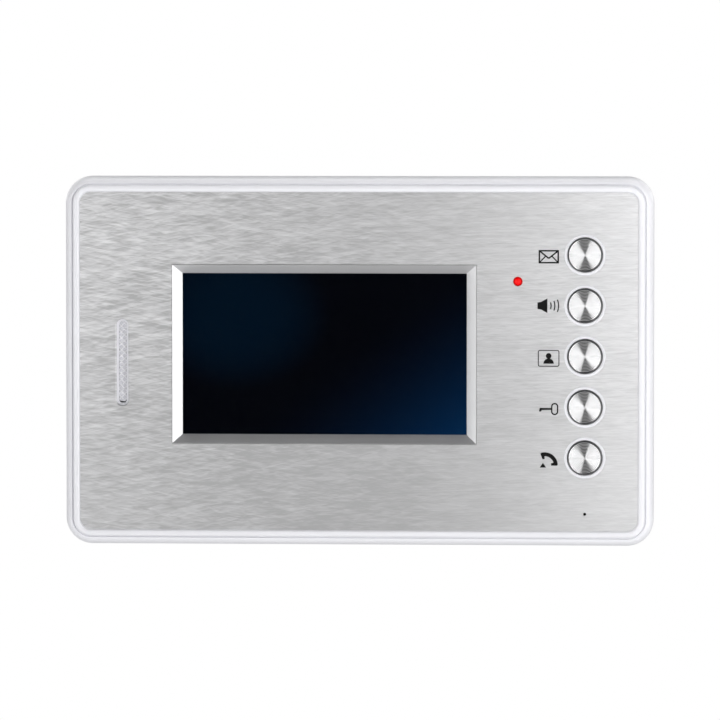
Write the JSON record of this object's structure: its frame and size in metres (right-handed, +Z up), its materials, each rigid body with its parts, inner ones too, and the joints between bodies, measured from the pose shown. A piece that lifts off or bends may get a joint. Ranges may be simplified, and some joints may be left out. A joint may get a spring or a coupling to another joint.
{
  "type": "video intercom monitor",
  "caption": "Wall-mounted video intercom monitor: white casing, brushed plate, recessed screen, round metal keys, lamp, loudspeaker slot and hook-on steel bracket.",
  "frame": {"origin": "centre of the wall bracket's back face, on the wall plane", "axes": "+Z up, +X to the viewer's right, the screen faces -Y and the wall is the plane y = 0"},
  "size_m": [0.198, 0.0226, 0.124],
  "materials": {
    "bracket_steel": "zinc plated, satin",
    "casing_white": "fine satin moulding",
    "plate_aluminium": "brushed along its length, with short crossing strokes",
    "symbol_ink": "printed ink, satin",
    "bezel_silver": "smooth silver coating",
    "window_clear": "clear, polished",
    "foam_black": "closed-cell foam",
    "display_steel": "pressed sheet, satin",
    "display_black": "black glass with a dark blue sheen",
    "backlight_white": "milky, smooth",
    "tail_film": "amber film",
    "socket_beige": "moulded",
    "screw_steel": "nickel plated",
    "board_green": "solder mask",
    "lamp_red": "tinted resin, polished",
    "microphone_can": "drawn can",
    "rubber_black": "moulded rubber",
    "lead_insulation": "smooth insulation",
    "mesh_grey": "moulded mesh",
    "cone_black": "pressed film",
    "magnet_iron": "plated",
    "chip_black": "moulded resin",
    "capacitor_can": "drawn can",
    "coil_grey": "ferrite",
    "crystal_can": "drawn can",
    "socket_ivory": "moulded nylon",
    "pin_brass": "plated",
    "ribbon_grey": "ribbed insulation",
    "cap_metal": "spun in fine rings",
    "key_rim_dark": "dark, satin",
    "switch_black": "moulded"
  },
  "bodies": {
    "wall_bracket": {"wall_bracket": "bracket_steel"},
    "monitor": {"rear_casing": "casing_white", "front_casing": "casing_white", "front_plate": "plate_aluminium", "key_symbols": "symbol_ink", "screen_bezel": "bezel_silver", "screen_window": "window_clear", "window_gasket": "foam_black", "display_frame": "display_steel", "display_glass": "display_black", "display_backlight": "backlight_white", "display_tail": "tail_film", "tail_socket": "socket_beige", "display_clamps": "display_steel", "clamp_screws": "screw_steel", "key_board": "board_green", "indicator_lamp": "lamp_red", "microphone": "microphone_can", "microphone_boot": "rubber_black", "microphone_leads": "lead_insulation", "speaker_mesh": "mesh_grey", "speaker_gasket": "foam_black", "speaker_frame": "display_steel", "speaker_cone": "cone_black", "speaker_magnet": "magnet_iron", "speaker_strip": "display_steel", "speaker_leads": "lead_insulation", "main_board": "board_green", "board_chips": "chip_black", "board_capacitors": "capacitor_can", "board_coils": "coil_grey", "board_crystal": "crystal_can", "terminal_sockets": "socket_ivory", "terminal_pins": "pin_brass", "ribbon_cable": "ribbon_grey", "ribbon_sockets": "socket_beige", "board_screws": "screw_steel", "casing_screws": "screw_steel", "message_switch": "switch_black", "volume_switch": "switch_black", "view_switch": "switch_black", "unlock_switch": "switch_black", "talk_switch": "switch_black"},
    "message_key": {"message_cap": "cap_metal", "message_plunger": "key_rim_dark", "message_actuator": "switch_black"},
    "volume_key": {"volume_cap": "cap_metal", "volume_plunger": "key_rim_dark", "volume_actuator": "switch_black"},
    "view_key": {"view_cap": "cap_metal", "view_plunger": "key_rim_dark", "view_actuator": "switch_black"},
    "unlock_key": {"unlock_cap": "cap_metal", "unlock_plunger": "key_rim_dark", "unlock_actuator": "switch_black"},
    "talk_key": {"talk_cap": "cap_metal", "talk_plunger": "key_rim_dark", "talk_actuator": "switch_black"}
  },
  "joints": [
    {"name": "monitor_lift", "type": "slide", "parent": "wall_bracket", "child": "monitor", "axis": [0, 0, 1], "range_m": [0, 0.008]},
    {"name": "message_press", "type": "slide", "parent": "monitor", "child": "message_key", "axis": [0, 1, 0], "range_m": [0, 0.0005], "stiffness_N_per_m": 300, "springref_m": -0.004},
    {"name": "volume_press", "type": "slide", "parent": "monitor", "child": "volume_key", "axis": [0, 1, 0], "range_m": [0, 0.0005], "stiffness_N_per_m": 300, "springref_m": -0.004},
    {"name": "view_press", "type": "slide", "parent": "monitor", "child": "view_key", "axis": [0, 1, 0], "range_m": [0, 0.0005], "stiffness_N_per_m": 300, "springref_m": -0.004},
    {"name": "unlock_press", "type": "slide", "parent": "monitor", "child": "unlock_key", "axis": [0, 1, 0], "range_m": [0, 0.0005], "stiffness_N_per_m": 300, "springref_m": -0.004},
    {"name": "talk_press", "type": "slide", "parent": "monitor", "child": "talk_key", "axis": [0, 1, 0], "range_m": [0, 0.0005], "stiffness_N_per_m": 300, "springref_m": -0.004}
  ]
}
